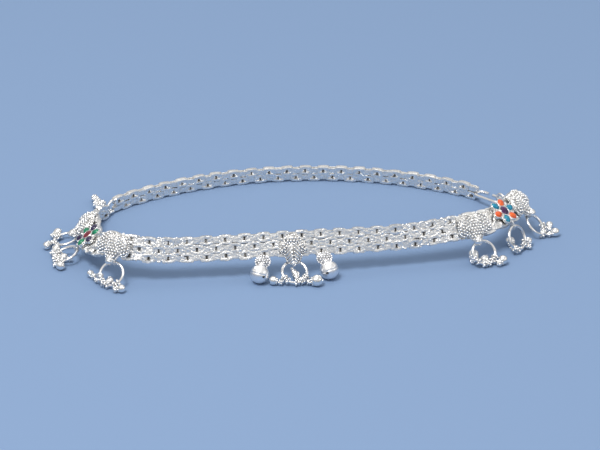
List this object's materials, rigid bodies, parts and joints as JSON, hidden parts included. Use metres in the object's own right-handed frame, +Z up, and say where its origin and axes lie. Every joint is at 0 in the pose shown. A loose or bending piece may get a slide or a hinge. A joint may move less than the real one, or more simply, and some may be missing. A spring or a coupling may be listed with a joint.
{
  "type": "payal anklet",
  "caption": "Silver ankle chain, a closed woven band with leaf motifs, enamel flowers, bells and bead drops, resting on its lower edge as a loop round an open middle.",
  "frame": {"origin": "on the floor under the middle of the anklet's box", "axes": "+X along the loop's long side, to the right seen from its front; +Z up; the front run with the bells is at -Y"},
  "size_m": [0.1378, 0.0649, 0.013],
  "materials": {
    "chain_silver": "hammered white silver links",
    "bell_silver": "polished silver balls under granulated caps",
    "leaf_silver": "granulated and veined white silver",
    "bead_silver": "bright beads with granulated caps",
    "wire_silver": "smooth drawn wire",
    "orange_enamel": "glossy orange-red enamel",
    "teal_enamel": "glossy teal-blue enamel",
    "violet_enamel": "glossy dark violet enamel",
    "green_enamel": "glossy emerald enamel",
    "purple_enamel": "glossy dark purple enamel",
    "red_enamel": "glossy ruby-red enamel"
  },
  "bodies": {
    "root": {"back_chain_left": "chain_silver", "back_chain_right": "chain_silver", "centre_leaf": "leaf_silver", "centre_ring": "wire_silver", "centre_strand_left": "bead_silver", "centre_strand_middle": "bead_silver", "centre_strand_right": "bead_silver", "eye_ring": "wire_silver", "front_chain": "chain_silver", "hook": "wire_silver", "left_bell": "bell_silver", "left_chain": "chain_silver", "left_end_chain": "chain_silver", "left_flower": "leaf_silver", "left_flower_centre": "red_enamel", "left_flower_ring": "wire_silver", "left_flower_strand_left": "bead_silver", "left_flower_strand_middle": "bead_silver", "left_flower_strand_right": "bead_silver", "left_inner_leaf": "leaf_silver", "left_inner_ring": "wire_silver", "left_inner_strand_left": "bead_silver", "left_inner_strand_middle": "bead_silver", "left_inner_strand_right": "bead_silver", "left_outer_leaf": "leaf_silver", "left_outer_ring": "wire_silver", "left_outer_strand_left": "bead_silver", "left_outer_strand_right": "bead_silver", "left_petal_1": "purple_enamel", "left_petal_2": "green_enamel", "left_petal_3": "purple_enamel", "left_petal_4": "green_enamel", "left_petal_5": "purple_enamel", "left_petal_6": "green_enamel", "right_bell": "bell_silver", "right_chain": "chain_silver", "right_end_chain": "chain_silver", "right_flower": "leaf_silver", "right_flower_centre": "violet_enamel", "right_flower_ring": "wire_silver", "right_flower_strand_left": "bead_silver", "right_flower_strand_right": "bead_silver", "right_inner_leaf": "leaf_silver", "right_inner_ring": "wire_silver", "right_inner_strand_left": "bead_silver", "right_inner_strand_middle": "bead_silver", "right_inner_strand_right": "bead_silver", "right_outer_leaf": "leaf_silver", "right_outer_ring": "wire_silver", "right_outer_strand_left": "bead_silver", "right_outer_strand_right": "bead_silver", "right_petal_1": "teal_enamel", "right_petal_2": "orange_enamel", "right_petal_3": "teal_enamel", "right_petal_4": "orange_enamel", "right_petal_5": "teal_enamel", "right_petal_6": "orange_enamel", "tassel": "bead_silver", "tassel_ring": "wire_silver"}
  },
  "joints": []
}
